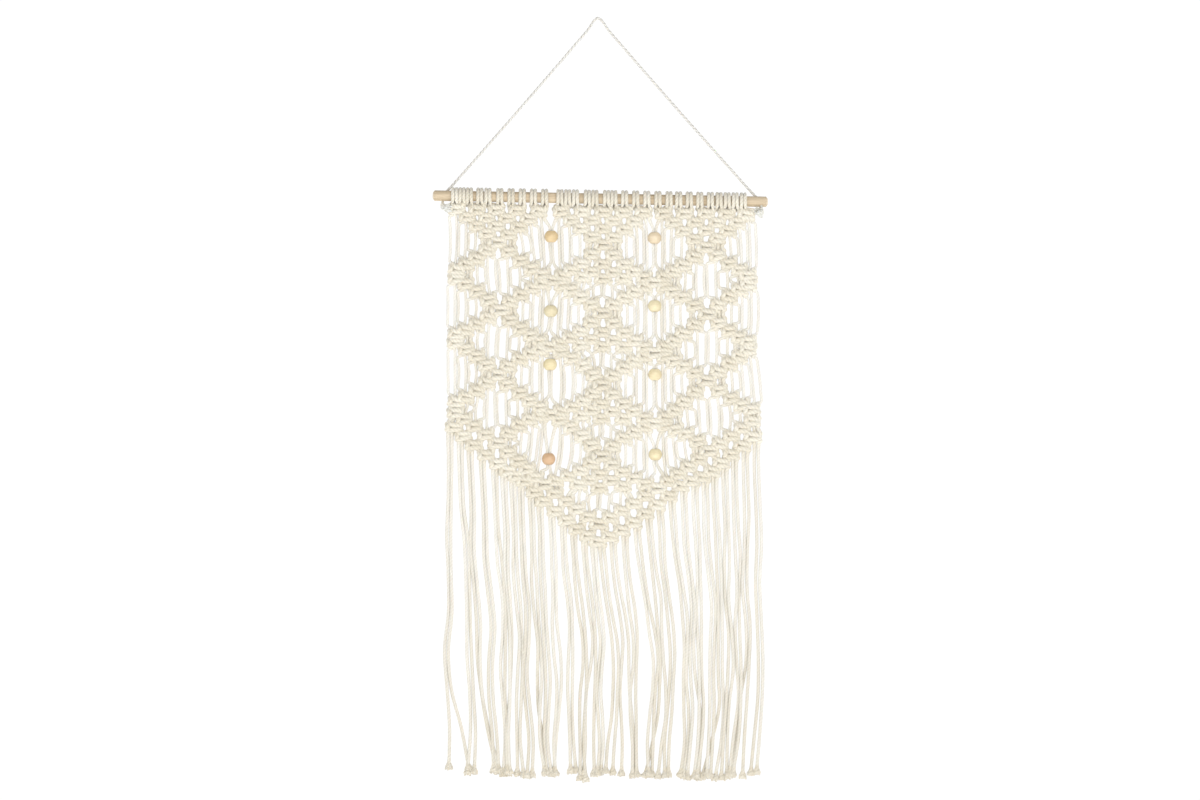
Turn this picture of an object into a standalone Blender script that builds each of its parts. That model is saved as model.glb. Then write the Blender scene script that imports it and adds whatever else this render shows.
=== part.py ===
"""Macrame wall hanging: 60 cords hung on a wooden dowel, knotted into a net of diamonds.

Metres, +Z up, the front faces -Y. The origin is the point where the hanger cord rests on
its nail, over the hanging's centre of mass. "Board" places are given as x along the dowel
from its middle and drop below the dowel's axis; the dowel, and the net with it, hang a
little low on the right.
"""
import math

import bpy
import bmesh

# ---- driving dimensions, in metres ----------------------------------------------------
DOWEL_LENGTH = 0.380
DOWEL_RADIUS = 0.006
DOWEL_CHAMFER = 0.0006
DOWEL_MIDDLE_X = 0.0026
DOWEL_DEPTH_BELOW_NAIL = 0.205
DOWEL_TILT = math.radians(1.07)
CORD = 0.004                      # one knotting cord
CLEARANCE = 0.0003                # gap between touching pieces
COLUMN_PITCH = 0.01182            # from one column of knots to the next
LAST_COLUMN = 30
MIDDLE_COLUMN = 15
NET_MIDDLE_X = 0.003
NET_REACH = 0.392                 # from the dowel's axis to the net's tip
FIRST_ROW_TOP = 0.0113            # drop of the first row's upper edge
PAIR_WIDTH = 0.0072               # two cords running side by side
EDGE_HALF = 0.0017                # half thickness along a strand's edge
RIDGE_HALF = 0.0040               # half thickness at the middle of a knot
RIDGE_REACH = 0.0038              # how far a knot's ridge runs to each side
CORNER_IN = 0.2                   # a free corner's place, in columns, inside the lattice
NECK = 0.0055                     # a strand leaves its knot over this length
SWING = 0.0045                    # rows gather at the diamonds' crossings by this much
LOOP_OUTER = 0.0103               # radius of a lark's head, outside
LOOP_INNER = 0.00676
LOOP_WIDTH = 0.0074
LOOP_STEPS = 8
BEAD_RADIUS = 0.0077
BEAD_BORE = 0.0037
THREAD_WIDTH = 0.0054             # the two cords squeezed in a bead's bore
THREAD_HALF = 0.0016
HANGER_RADIUS = 0.0015
FRINGE_HALF = 0.00155             # half width of one fringe cord
FRINGE_PITCH = 0.0036             # the closest that fringe cords hang

# Lark's heads on the dowel, left to right: how many, the first one's x, the pitch.
HEADS = (
    # count, first_x, pitch
    (3, -0.1665, 0.0084),
    (2, -0.1377, 0.0092),
    (5, -0.1148, 0.0128),
    (3, -0.0461, 0.0089),
    (2, -0.0147, 0.0086),
    (2, 0.0072, 0.0084),
    (5, 0.0279, 0.0127),
    (4, 0.0897, 0.0121),
    (4, 0.1360, 0.0092),
)

# Drop of the rows at five places across the net.
ROWS = (
    # row, left edge, left, middle, right, right edge
    (1, 0.0155, 0.0155, 0.0155, 0.0155, 0.0155),
    (5, 0.0500, 0.0530, 0.0530, 0.0550, 0.0500),
    (10, 0.0896, 0.0925, 0.0976, 0.0931, 0.0902),
    (15, 0.1262, 0.1320, 0.1308, 0.1314, 0.1274),
    (20, 0.1629, 0.1680, 0.1755, 0.1749, 0.1652),
    (25, 0.2012, 0.2047, 0.2132, 0.2081, 0.2029),
    (30, 0.2413, 0.2430, 0.2579, 0.2556, 0.2436),
    (35, 0.2876, 0.2785, 0.2945, 0.2819, 0.2937),
    (40, 0.3400, 0.3243, 0.3368, 0.3265, 0.3420),
    (45, 0.4000, 0.3952, 0.3723, 0.3975, 0.4020),
    (48, 0.4400, 0.4400, 0.4030, 0.4400, 0.4400),
)
ROW_PLACES = (1.0, 7.5, 15.0, 22.5, 29.0)

# How far the columns have wandered sideways at the tip's drop.
LEAN = (
    # column, x
    (0, -0.0023),
    (10, -0.0052),
    (15, -0.0040),
    (20, 0.0017),
    (25, 0.0023),
    (30, 0.0011),
)

# Beads: name, column they hang in, rows of the knots above and below, drop.
BEADS = (
    # name, column, row above, row below, drop
    ("bead_left_1", 10, 1, 9, 0.0444),
    ("bead_left_2", 10, 11, 19, 0.1297),
    ("bead_left_3", 10, 21, 29, 0.1909),
    ("bead_left_4", 10, 31, 39, 0.2990),
    ("bead_right_1", 20, 1, 9, 0.0438),
    ("bead_right_2", 20, 11, 19, 0.1217),
    ("bead_right_3", 20, 21, 29, 0.2001),
    ("bead_right_4", 20, 31, 39, 0.2916),
)
BEAD_COLOURS = (
    # red, green, blue
    (0.62, 0.33, 0.13),
    (0.80, 0.62, 0.40),
    (0.86, 0.72, 0.48),
    (0.50, 0.25, 0.12),
    (0.74, 0.52, 0.30),
    (0.85, 0.72, 0.50),
    (0.78, 0.52, 0.28),
    (0.80, 0.62, 0.40),
)

# The fringe hangs in bunches: how many pairs of cords, where the bunch hangs half way
# down and at its end, how wide it is there, and the drop of its ends.
BUNCHES = (
    # pairs, middle_x, middle_width, end_x, end_width, end_drop
    (1, -0.1737, 0.0040, -0.1663, 0.0120, 0.6570),
    (2, -0.1446, 0.0130, -0.1377, 0.0225, 0.6620),
    (1, -0.1245, 0.0045, -0.1194, 0.0060, 0.6600),
    (2, -0.1062, 0.0110, -0.1045, 0.0120, 0.6630),
    (2, -0.0879, 0.0130, -0.0862, 0.0180, 0.6640),
    (2, -0.0667, 0.0140, -0.0622, 0.0130, 0.6630),
    (1, -0.0496, 0.0060, -0.0461, 0.0070, 0.6610),
    (1, -0.0335, 0.0045, -0.0324, 0.0050, 0.6600),
    (1, -0.0187, 0.0050, -0.0209, 0.0060, 0.6680),
    (2, -0.0026, 0.0130, -0.0072, 0.0125, 0.6610),
    (2, 0.0226, 0.0160, 0.0191, 0.0240, 0.6600),
    (1, 0.0397, 0.0050, 0.0374, 0.0060, 0.6630),
    (3, 0.0718, 0.0250, 0.0655, 0.0230, 0.6620),
    (3, 0.1073, 0.0200, 0.1021, 0.0220, 0.6630),
    (3, 0.1388, 0.0230, 0.1314, 0.0240, 0.6630),
    (2, 0.1634, 0.0130, 0.1554, 0.0130, 0.6600),
    (1, 0.1829, 0.0050, 0.1766, 0.0070, 0.6570),
)
FRINGE_MIDDLE = 0.520
FRINGE_END = 0.665
FRINGE_LEVELS = (0.300, 0.350, 0.405, 0.460, 0.520, 0.595, 0.665)

# Where the hanger cord meets the dowel, and how its cut ends point below it.
HANGER_ENDS = (
    # side, x on the dowel, tail_x, tail_y, tail_drop
    ("left", -0.1805, -0.0058, -0.0010, 0.0165),
    ("right", 0.1833, 0.0020, -0.0010, 0.0185),
)
HANGER_RADIUS_ON_DOWEL = DOWEL_RADIUS + CLEARANCE + HANGER_RADIUS
HANGER_POINTS = 14

WOOD = (0.72, 0.48, 0.26)
COTTON = (0.86, 0.81, 0.72)
STRING = (0.74, 0.73, 0.70)


# ---- places ---------------------------------------------------------------------------
def between(table, at, column):
    """Reads a column of a table whose first column rises, in straight steps."""
    for low, high in zip(table, table[1:]):
        if at <= high[0]:
            break
    share = (at - low[0]) / (high[0] - low[0])
    return low[column] + share * (high[column] - low[column])


def world(x, drop, y=0.0):
    """The world place of a board place."""
    return (DOWEL_MIDDLE_X + x, y, -DOWEL_DEPTH_BELOW_NAIL - drop - x * math.tan(DOWEL_TILT))


def drop_of(row, column):
    """How far a row hangs below the dowel at a column; rows gather at the crossings."""
    across = [(place, between(ROWS, row, 1 + n)) for n, place in enumerate(ROW_PLACES)]
    column = min(max(column, ROW_PLACES[0]), ROW_PLACES[-1])
    swing = SWING * math.sin(math.tau * (row - 5) / 10) if 5 < row < 45 else 0.0
    return between(across, column, 1) + swing


def column_x(column, drop):
    """Where a column hangs: evenly spaced at the top, wandering sideways on the way down."""
    wander = between(LEAN, column, 1) * (drop / NET_REACH) ** 2
    return NET_MIDDLE_X + (column - MIDDLE_COLUMN) * COLUMN_PITCH + wander


def head_places():
    """The x of each lark's head, from the groups on the dowel."""
    return [first + n * pitch for count, first, pitch in HEADS for n in range(count)]


# ---- the knot chart -------------------------------------------------------------------
def outer_row(column):
    """The row of the last knot of a column, in the V along the net's lower edge."""
    return 47 - abs(column - MIDDLE_COLUMN)


def knotted(row, column):
    """Whether the net has a square knot there, above the V."""
    depth = abs(column - MIDDLE_COLUMN)
    if (row + column) % 2 or not 1 <= column < LAST_COLUMN or row > 45 - depth or row < 1:
        return False
    arm = (row - column) % 10 == 0 or (row + column) % 10 == 0
    top = row <= 5 and any(abs(column - m) <= 5 - row for m in (5, 15, 25))
    centre = row > 5 and 1 <= (row - 5) % 10 <= 4 and depth <= (row - 5) % 10
    return arm or top or centre


NET_KNOTS = {(r, c) for r in range(1, 46) for c in range(1, LAST_COLUMN) if knotted(r, c)}
V_KNOTS = {(outer_row(c), c) for c in range(1, LAST_COLUMN)}


def corners_of(row, column):
    """The lattice corners that a knot fills."""
    return [(edge, k) for edge in (row - 0.5, row + 0.5) for k in range(column - 1, column + 2)]


def users(knots):
    """The columns of the knots that fill each lattice corner."""
    found = {}
    for row, column in sorted(knots):
        for corner in corners_of(row, column):
            found.setdefault(corner, []).append(column)
    return found


# ---- a sheet of strands and knots, worked out flat and then given its thickness --------
class Openwork:
    """Flat faces on named points, each with a half thickness, closed by walls at the edges."""

    def __init__(self, knots):
        self.users = users(knots)
        self.points = {}
        self.faces = []
        self.ports = set()
        self.extra_points = {}
        self.extra_faces = []

    def point(self, name, x, drop, half=EDGE_HALF):
        self.points.setdefault(name, (x, drop, half))
        return name

    def corner(self, edge, k, shift=0.0):
        """A lattice corner; one that only a single knot fills is drawn in."""
        columns = self.users[edge, k]
        aim = columns[0] if len(columns) == 1 else k
        place = k + CORNER_IN * ((aim > k) - (aim < k))
        drop = drop_of(edge, place) + shift
        return self.point((edge, k), column_x(place, drop), drop)

    def middle(self, edge, k, left, right):
        """The point half way along a knot's half edge, left of column k."""
        (ax, ad, _), (bx, bd, _) = self.points[left], self.points[right]
        return self.point((edge, k - 0.5), (ax + bx) / 2, (ad + bd) / 2)

    def knot(self, row, column, upper, lower):
        """A square knot: a ridge across its middle, falling to the strands above and below."""
        drop = drop_of(row, column)
        x = column_x(column, drop)
        left = self.point((row, column, "left"), x - RIDGE_REACH, drop, RIDGE_HALF)
        right = self.point((row, column, "right"), x + RIDGE_REACH, drop, RIDGE_HALF)
        for side, names in ((1, upper), (-1, lower)):
            centre = names.index((row - 0.5 * side, column))
            for n, (a, b) in enumerate(zip(names, names[1:])):
                tip = left if n < centre else right
                self.faces.append((a, tip, b)[::side])
            self.faces.append((names[centre], left, right)[::side])
        self.faces.append((upper[0], lower[0], left))
        self.faces.append((lower[-1], upper[-1], right))

    def strand(self, start, end, rings):
        """A strand from one half edge to another through (x, drop, width, half) rings."""
        line = [start]
        for n, (x, drop, width, half) in enumerate(rings):
            name = (start, end, n)
            line.append((self.point(name + ("left",), x - width / 2, drop, half),
                         self.point(name + ("right",), x + width / 2, drop, half)))
        line.append(end)
        for (a, b), (c, d) in zip(line, line[1:]):
            self.faces.append((a, c, d, b))

    def mesh(self):
        """Front, back and walls of the flat faces, with the extra faces, as a closed mesh."""
        count = {}
        for face in self.faces:
            for a, b in zip(face, face[1:] + face[:1]):
                count[frozenset((a, b))] = count.get(frozenset((a, b)), 0) + 1
        verts, index = [], {}
        for name in sorted(self.points, key=str):
            x, drop, half = self.points[name]
            for side, y in (("front", -half), ("back", half)):
                index[name, side] = len(verts)
                verts.append(world(x, drop, y))
        for name in sorted(self.extra_points, key=str):
            index[name] = len(verts)
            verts.append(self.extra_points[name])
        faces = []
        for face in self.faces:
            faces.append([index[name, "front"] for name in face])
            faces.append([index[name, "back"] for name in face[::-1]])
            for a, b in zip(face, face[1:] + face[:1]):
                edge = frozenset((a, b))
                if count[edge] == 1 and edge not in self.ports:
                    faces.append([index[b, "front"], index[a, "front"],
                                  index[a, "back"], index[b, "back"]])
        faces += [[index[name] for name in face] for face in self.extra_faces]
        return verts, faces


def strand_rings(sheet, start, end, seed):
    """The rings of a pair of cords that runs free between two knots."""
    (ax, ad, _), (bx, bd, _) = sheet.points[start[0]], sheet.points[start[1]]
    (cx, cd, _), (dx, dd, _) = sheet.points[end[0]], sheet.points[end[1]]
    top, bottom = (ax + bx) / 2, (cx + dx) / 2
    high, low = (ad + bd) / 2, (cd + dd) / 2
    length = low - high
    sway = 0.0008 * math.sin(seed)
    if length < 2.4 * NECK:
        return [((top + bottom) / 2 + sway, (high + low) / 2, PAIR_WIDTH, EDGE_HALF)]
    share = NECK / length
    return [(top + (bottom - top) * s + sway, high + length * s, PAIR_WIDTH, EDGE_HALF)
            for s in (share, 1 - share)]


# ---- the net --------------------------------------------------------------------------
def bead_cells():
    """The strips of each bead's cell, as {(strip, row above): bead}."""
    return {(strip, above): (column, above, below, drop)
            for _, column, above, below, drop in BEADS for strip in (column, column + 1)}


def knot_edges(sheet, row, column, shift_of, split):
    """A knot's upper and lower points, left to right, with the split half edges' middles."""
    edges = []
    for edge in (row - 0.5, row + 0.5):
        names = [sheet.corner(edge, k, shift_of(edge, k)) for k in (column - 1, column, column + 1)]
        for k, at in ((column + 1, 2), (column, 1)):
            if (edge, k) in split:
                names.insert(at, sheet.middle(edge, k, names[at - 1], names[at]))
        edges.append(names)
    return edges


def bead_strands(sheet, column, above, below, bead_drop):
    """The four cords round a bead: two through it, and one down each side."""
    top, bottom = above + 0.5, below - 0.5
    x = column_x(column, bead_drop)
    around = (bead_drop - BEAD_RADIUS - 0.0015, bead_drop + BEAD_RADIUS + 0.0015)
    inner = []
    for n, drop in enumerate(around):
        name = ("thread", column, above, n)
        inner.append((sheet.point(name + ("left",), x - THREAD_WIDTH / 2, drop, THREAD_HALF),
                      sheet.point(name + ("right",), x + THREAD_WIDTH / 2, drop, THREAD_HALF)))
    (a, b), (c, d) = inner
    left, middle, right = (top, column - 0.5), (top, column), (top, column + 0.5)
    sheet.faces += [(left, a, middle), (middle, a, b), (middle, b, right), (a, c, d, b)]
    left, middle, right = (bottom, column - 0.5), (bottom, column), (bottom, column + 0.5)
    sheet.faces += [(c, left, middle), (c, middle, d), (d, middle, right)]
    aside = BEAD_RADIUS + 0.0006 + CORD / 2
    for side, inner_k, outer_k in ((-1, column - 0.5, column - 1), (1, column + 0.5, column + 1)):
        names = sorted((inner_k, outer_k))
        rings = [(x + side * aside, drop, 0.9 * CORD, EDGE_HALF) for drop in around]
        sheet.strand(tuple((top, k) for k in names), tuple((bottom, k) for k in names), rings)


def lark_head(sheet, strip, head_x):
    """A loop of the two cords round the dowel, joined to the first row's upper edge."""
    half_gap = math.asin(EDGE_HALF / LOOP_OUTER)
    step = (math.tau - 2 * half_gap) / LOOP_STEPS
    loop = {}
    for n in range(LOOP_STEPS + 1):
        angle = half_gap + n * step
        for side, x in (("left", head_x - LOOP_WIDTH / 2), ("right", head_x + LOOP_WIDTH / 2)):
            for rim, radius in (("outer", LOOP_OUTER), ("inner", LOOP_INNER)):
                name = ("loop", strip, n, side, rim)
                place = world(x, radius * math.cos(angle), -radius * math.sin(angle))
                sheet.extra_points[name] = place
                loop[n, side, rim] = name
    foot = []
    for side, x in (("left", head_x - LOOP_WIDTH / 2), ("right", head_x + LOOP_WIDTH / 2)):
        name = sheet.point(("foot", strip, side), x, LOOP_OUTER * math.cos(half_gap))
        for n, face in ((0, "front"), (LOOP_STEPS, "back")):
            del sheet.extra_points[loop[n, side, "outer"]]
            loop[n, side, "outer"] = (name, face)
        foot.append(name)
    sheet.faces.append((foot[0], (0.5, strip - 1), (0.5, strip), foot[1]))
    sheet.ports.add(frozenset(foot))
    around = list(range(LOOP_STEPS + 1))
    for a, b in zip(around, around[1:] + around[:1]):
        if b:
            sheet.extra_faces.append([loop[a, "left", "outer"], loop[a, "right", "outer"],
                                      loop[b, "right", "outer"], loop[b, "left", "outer"]])
        sheet.extra_faces.append([loop[b, "left", "inner"], loop[b, "right", "inner"],
                                  loop[a, "right", "inner"], loop[a, "left", "inner"]])
        for side in ("left", "right"):
            sheet.extra_faces.append([loop[a, side, "inner"], loop[a, side, "outer"],
                                      loop[b, side, "outer"], loop[b, side, "inner"]])


def loose_end(sheet, strip, edge):
    """The end of a strand that stops just above the V, on points of its own."""
    names = []
    for k in (strip - 1 + CORNER_IN, strip - CORNER_IN):
        drop = drop_of(edge, k) - 0.6 * CLEARANCE
        names.append(sheet.point(("end", strip, k), column_x(k, drop), drop))
    return tuple(names)


def knotted_net():
    """Knots fused into bars, the free strands between them and the heads on the dowel."""
    sheet = Openwork(NET_KNOTS)
    parted = {corner for knot in V_KNOTS for corner in corners_of(*knot) if corner[0] < knot[0]}
    heads = head_places()
    for k in range(LAST_COLUMN + 1):
        near = heads[max(k - 1, 0):k + 1]
        x = sum(near) / len(near) + (0.0045 if k == LAST_COLUMN else -0.0045 if k == 0 else 0)
        sheet.point((0.5, k), x, FIRST_ROW_TOP)
    cells = bead_cells()
    split = set()
    for (strip, above), (_, _, below, _) in cells.items():
        split |= {(above + 0.5, strip), (below - 0.5, strip)}

    def shift_of(edge, k):
        return -0.6 * CLEARANCE if (edge, k) in parted else 0.0

    for row, column in sorted(NET_KNOTS):
        sheet.knot(row, column, *knot_edges(sheet, row, column, shift_of, split))
    for strip in range(1, LAST_COLUMN + 1):
        lark_head(sheet, strip, heads[strip - 1])
        rows = [r for r, c in sorted(NET_KNOTS) if c in (strip, strip - 1)]
        rows.append(min(outer_row(c) for c in (strip - 1, strip) if 1 <= c < LAST_COLUMN))
        for above, below in zip(rows, rows[1:]):
            if below - above > 1 and (strip, above) not in cells:
                start = tuple((above + 0.5, k) for k in (strip - 1, strip))
                end = tuple((below - 0.5, k) for k in (strip - 1, strip))
                if below == rows[-1]:
                    end = loose_end(sheet, strip, below - 0.5)
                sheet.strand(start, end, strand_rings(sheet, start, end, 2.4 * strip + above))
    for _, column, above, below, drop in BEADS:
        bead_strands(sheet, column, above, below, drop)
    return sheet.mesh()


# ---- the fringe -----------------------------------------------------------------------
def fringe_places():
    """For each level, the x of the 60 fringe cords, kept in order and apart."""
    middle, end, drops = [], [], []
    for pairs, middle_x, middle_width, end_x, end_width, end_drop in BUNCHES:
        for n in range(2 * pairs):
            share = n / (2 * pairs - 1) - 0.5
            middle.append(middle_x + share * middle_width)
            end.append(end_x + share * end_width)
            drops.append(end_drop + 0.0015 * math.sin(7.3 * len(drops)))
    return middle, end, drops


def root_place(cord):
    """The board place where a fringe cord leaves the V."""
    strip = (cord + 1) // 2
    column = strip if strip <= MIDDLE_COLUMN else strip - 1
    edge = outer_row(column) + 0.5
    place = strip - 1 + (0.28 if cord % 2 else 0.76)
    drop = drop_of(edge, place)
    return column_x(place, drop), drop


def spread(places):
    """Pushes places apart to the closest pitch, from the middle outwards."""
    places, half = list(places), len(places) // 2
    for n in range(half, len(places)):
        places[n] = max(places[n], places[n - 1] + FRINGE_PITCH)
    for n in range(half - 1, -1, -1):
        places[n] = min(places[n], places[n + 1] - FRINGE_PITCH)
    return places


def level_places():
    """The x of every cord at every level, from its root to its end."""
    middle, end, _ = fringe_places()
    roots = [root_place(cord) for cord in range(1, 2 * LAST_COLUMN + 1)]
    levels = []
    for level in FRINGE_LEVELS:
        row = []
        for (x, drop), mid, low in zip(roots, middle, end):
            if level <= drop:
                row.append(x)
            elif level <= FRINGE_MIDDLE:
                share = (level - drop) / (FRINGE_MIDDLE - drop)
                row.append(x + (mid - x) * share * share * (3 - 2 * share))
            else:
                share = (level - FRINGE_MIDDLE) / (FRINGE_END - FRINGE_MIDDLE)
                row.append(mid + (low - mid) * share * share)
        levels.append(spread(row))
    return levels


def fringe_strip():
    """The V of knots along the net's lower edge, with its 60 cut cords."""
    sheet = Openwork(V_KNOTS)
    shift = 0.6 * CLEARANCE
    hanging = {(outer_row(c) + 0.5, strip) for c in range(1, LAST_COLUMN)
               for strip in (c, c + 1) if (strip <= MIDDLE_COLUMN) == (strip == c)}
    hanging.add((outer_row(MIDDLE_COLUMN) + 0.5, MIDDLE_COLUMN + 1))
    for row, column in sorted(V_KNOTS):
        sheet.knot(row, column, *knot_edges(sheet, row, column, lambda e, k: shift, hanging))
    levels = level_places()
    drops = fringe_places()[2]
    for edge, strip in sorted(hanging):
        halves = (((edge, strip - 1), (edge, strip - 0.5)), ((edge, strip - 0.5), (edge, strip)))
        for n, start in enumerate(halves):
            cord = 2 * strip - 2 + n
            root = sheet.points[start[0]][1]
            line = [start]
            for at, level in enumerate(FRINGE_LEVELS):
                if level < root + 0.012:
                    continue
                drop = min(level, drops[cord])
                low = levels[at - 1][cord]
                span = level - FRINGE_LEVELS[at - 1]
                x = low + (levels[at][cord] - low) * (1 - (level - drop) / span)
                half = FRINGE_HALF
                line.append(tuple(sheet.point(("fringe", cord, at, side), x + side * half, drop, half)
                                  for side in (-1, 1)))
            for (a, b), (c, d) in zip(line, line[1:]):
                sheet.faces.append((a, c, d, b))
    return sheet.mesh()


# ---- objects --------------------------------------------------------------------------
def material(name, colour, roughness):
    made = bpy.data.materials.new(name)
    made.use_nodes = True
    shader = made.node_tree.nodes["Principled BSDF"]
    shader.inputs["Base Color"].default_value = (*colour, 1.0)
    shader.inputs["Roughness"].default_value = roughness
    return made


def add(collection, name, data, colour, roughness):
    obj = bpy.data.objects.new(name, data)
    obj.data.materials.append(material(name, colour, roughness))
    collection.objects.link(obj)
    return obj


def solid(collection, name, shape, colour, roughness):
    """A closed mesh from points and faces, with its faces turned outwards."""
    verts, faces = shape
    mesh = bpy.data.meshes.new(name)
    mesh.from_pydata(verts, [], faces)
    work = bmesh.new()
    work.from_mesh(mesh)
    bmesh.ops.recalc_face_normals(work, faces=work.faces)
    work.to_mesh(mesh)
    work.free()
    return add(collection, name, mesh, colour, roughness)


def tube(collection, name, points, radius, scales, colour):
    """A round cord through world points, as thick at each as its scale says."""
    curve = bpy.data.curves.new(name, "CURVE")
    curve.dimensions = "3D"
    curve.bevel_depth = radius
    curve.bevel_resolution = 2
    curve.use_fill_caps = True
    line = curve.splines.new("POLY")
    line.points.add(len(points) - 1)
    for point, place, scale in zip(line.points, points, scales):
        point.co = (*place, 1.0)
        point.radius = scale
    return add(collection, name, curve, colour, 0.85)


def dowel(collection):
    """A round stick with eased ends."""
    bpy.ops.mesh.primitive_cylinder_add(vertices=24, radius=DOWEL_RADIUS, depth=DOWEL_LENGTH)
    made = bpy.context.active_object
    made.name = made.data.name = "dowel"
    made.location = world(0.0, 0.0)
    made.rotation_euler = (0.0, math.pi / 2 + DOWEL_TILT, 0.0)
    made.data.materials.append(material("dowel", WOOD, 0.5))
    ease = made.modifiers.new("eased ends", "BEVEL")
    ease.width = DOWEL_CHAMFER
    ease.segments = 1
    ease.limit_method = "ANGLE"
    ease.angle_limit = math.radians(40)
    for old in list(made.users_collection):
        old.objects.unlink(made)
    collection.objects.link(made)


def bead(collection, name, column, drop, colour):
    """A turned wooden bead: a ball with its bore along Z."""
    steps = 5
    reach = math.acos(BEAD_BORE / BEAD_RADIUS)
    angles = [reach - 2 * reach * n / steps for n in range(steps + 1)]
    profile = [(BEAD_RADIUS * math.cos(a), 0.0, BEAD_RADIUS * math.sin(a)) for a in angles]
    mesh = bpy.data.meshes.new(name)
    mesh.from_pydata(profile, [(n, (n + 1) % len(profile)) for n in range(len(profile))], [])
    made = add(collection, name, mesh, colour, 0.45)
    made.location = world(column_x(column, drop), drop)
    turn = made.modifiers.new("turned", "SCREW")
    turn.steps = turn.render_steps = 12
    turn.use_merge_vertices = True
    turn.merge_threshold = 0.00001


def hanger(collection):
    """The cord over the nail, wrapped behind the dowel at both ends, and its cut tails."""
    arcs = {}
    for side, x, tail_x, tail_y, tail_drop in HANGER_ENDS:
        arc = []
        for angle in (35, 52, 70, 88):
            turn = math.radians(angle)
            radius = HANGER_RADIUS_ON_DOWEL / math.cos(math.radians(9))
            arc.append(world(x, radius * math.cos(turn), radius * math.sin(turn)))
        arcs[side] = arc
        (_, ay, az), (bx, by, bz) = arc[1], arc[0]
        along = math.hypot(by - ay, bz - az)
        aim = ((by - ay) / along, (bz - az) / along)
        line = [(bx, by + aim[0] * s, bz + aim[1] * s) for s in (0.0003, 0.0028, 0.0050, 0.0072)]
        line.append((bx + tail_x * 0.45, line[-1][1] + tail_y, world(x, 0.0135)[2]))
        line.append((bx + tail_x, line[-1][1] + tail_y, world(x, tail_drop)[2]))
        tube(collection, f"hanger_knot_{side}", line, HANGER_RADIUS,
             (1.0, 1.05, 1.8, 1.7, 1.1, 1.5), STRING)
    nail = (0.0, 0.0, HANGER_RADIUS)
    route = list(arcs["left"])
    for start, end in ((arcs["left"][-1], nail), (nail, arcs["right"][-1])):
        for n in range(1, HANGER_POINTS):
            share = n / HANGER_POINTS
            place = [a + (b - a) * share for a, b in zip(start, end)]
            place[2] -= 0.0012 * math.sin(math.pi * share)
            route.append(tuple(place))
        if end == nail:
            route.append(nail)
    route += arcs["right"][::-1]
    tube(collection, "hanger", route, HANGER_RADIUS, [1.0] * len(route), STRING)


def main():
    for old in list(bpy.data.objects):
        bpy.data.objects.remove(old)
    collection = bpy.data.collections.new("macrame_wall_hanging")
    bpy.context.scene.collection.children.link(collection)
    dowel(collection)
    solid(collection, "net", knotted_net(), COTTON, 0.9)
    solid(collection, "fringe", fringe_strip(), COTTON, 0.9)
    for (name, column, _, _, drop), colour in zip(BEADS, BEAD_COLOURS):
        bead(collection, name, column, drop, colour)
    hanger(collection)


main()
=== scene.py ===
"""Looks of the macrame wall hanging: 60 cotton strands on a dowel, with beads and a hanger.

Every strand is one round cord carried along its own way through the lark's head, the
square knots, the beads and the fringe. Board places are x along the dowel from its middle,
drop below the dowel's axis, and y, with the front at -y, all in metres.
"""

import math

import bpy
import numpy as np
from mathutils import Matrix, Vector

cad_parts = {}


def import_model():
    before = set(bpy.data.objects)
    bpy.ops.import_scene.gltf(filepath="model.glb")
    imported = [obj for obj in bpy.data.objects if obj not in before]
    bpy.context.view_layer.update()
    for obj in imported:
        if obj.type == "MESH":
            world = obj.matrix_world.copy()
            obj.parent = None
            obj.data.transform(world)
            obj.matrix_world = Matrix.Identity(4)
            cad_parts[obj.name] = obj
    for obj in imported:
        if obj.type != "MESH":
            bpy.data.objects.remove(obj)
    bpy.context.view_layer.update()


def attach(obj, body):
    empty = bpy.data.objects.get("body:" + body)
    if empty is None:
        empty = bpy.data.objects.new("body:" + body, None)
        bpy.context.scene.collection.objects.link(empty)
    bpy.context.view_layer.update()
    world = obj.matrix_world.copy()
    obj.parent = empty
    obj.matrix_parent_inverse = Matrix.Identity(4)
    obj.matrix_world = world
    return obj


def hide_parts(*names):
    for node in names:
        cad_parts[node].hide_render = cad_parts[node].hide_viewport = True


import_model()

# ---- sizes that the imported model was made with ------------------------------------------
DOWEL_LENGTH = 0.380
DOWEL_RADIUS = 0.006
DOWEL_MIDDLE_X = 0.0026
DOWEL_DEPTH_BELOW_NAIL = 0.205
DOWEL_TILT = math.radians(1.07)
CLEARANCE = 0.0003
COLUMN_PITCH = 0.01182
LAST_COLUMN = 30
MIDDLE_COLUMN = 15
NET_MIDDLE_X = 0.003
NET_REACH = 0.392
SWING = 0.0045                   # how far the rows swing up and down between the crossings
BEAD_RADIUS = 0.0077
BEAD_BORE = 0.0037
HANGER_RADIUS = 0.0015
FRINGE_PITCH = 0.0036
FRINGE_MIDDLE = 0.520
FRINGE_END = 0.665
FRINGE_LEVELS = (0.300, 0.350, 0.405, 0.460, 0.520, 0.595, 0.665)

# Lark's heads on the dowel, left to right: how many, the first one's x, the pitch.
HEADS = (
    # count, first_x, pitch
    (3, -0.1665, 0.0084),
    (2, -0.1377, 0.0092),
    (5, -0.1148, 0.0128),
    (3, -0.0461, 0.0089),
    (2, -0.0147, 0.0086),
    (2, 0.0072, 0.0084),
    (5, 0.0279, 0.0127),
    (4, 0.0897, 0.0121),
    (4, 0.1360, 0.0092),
)

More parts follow.
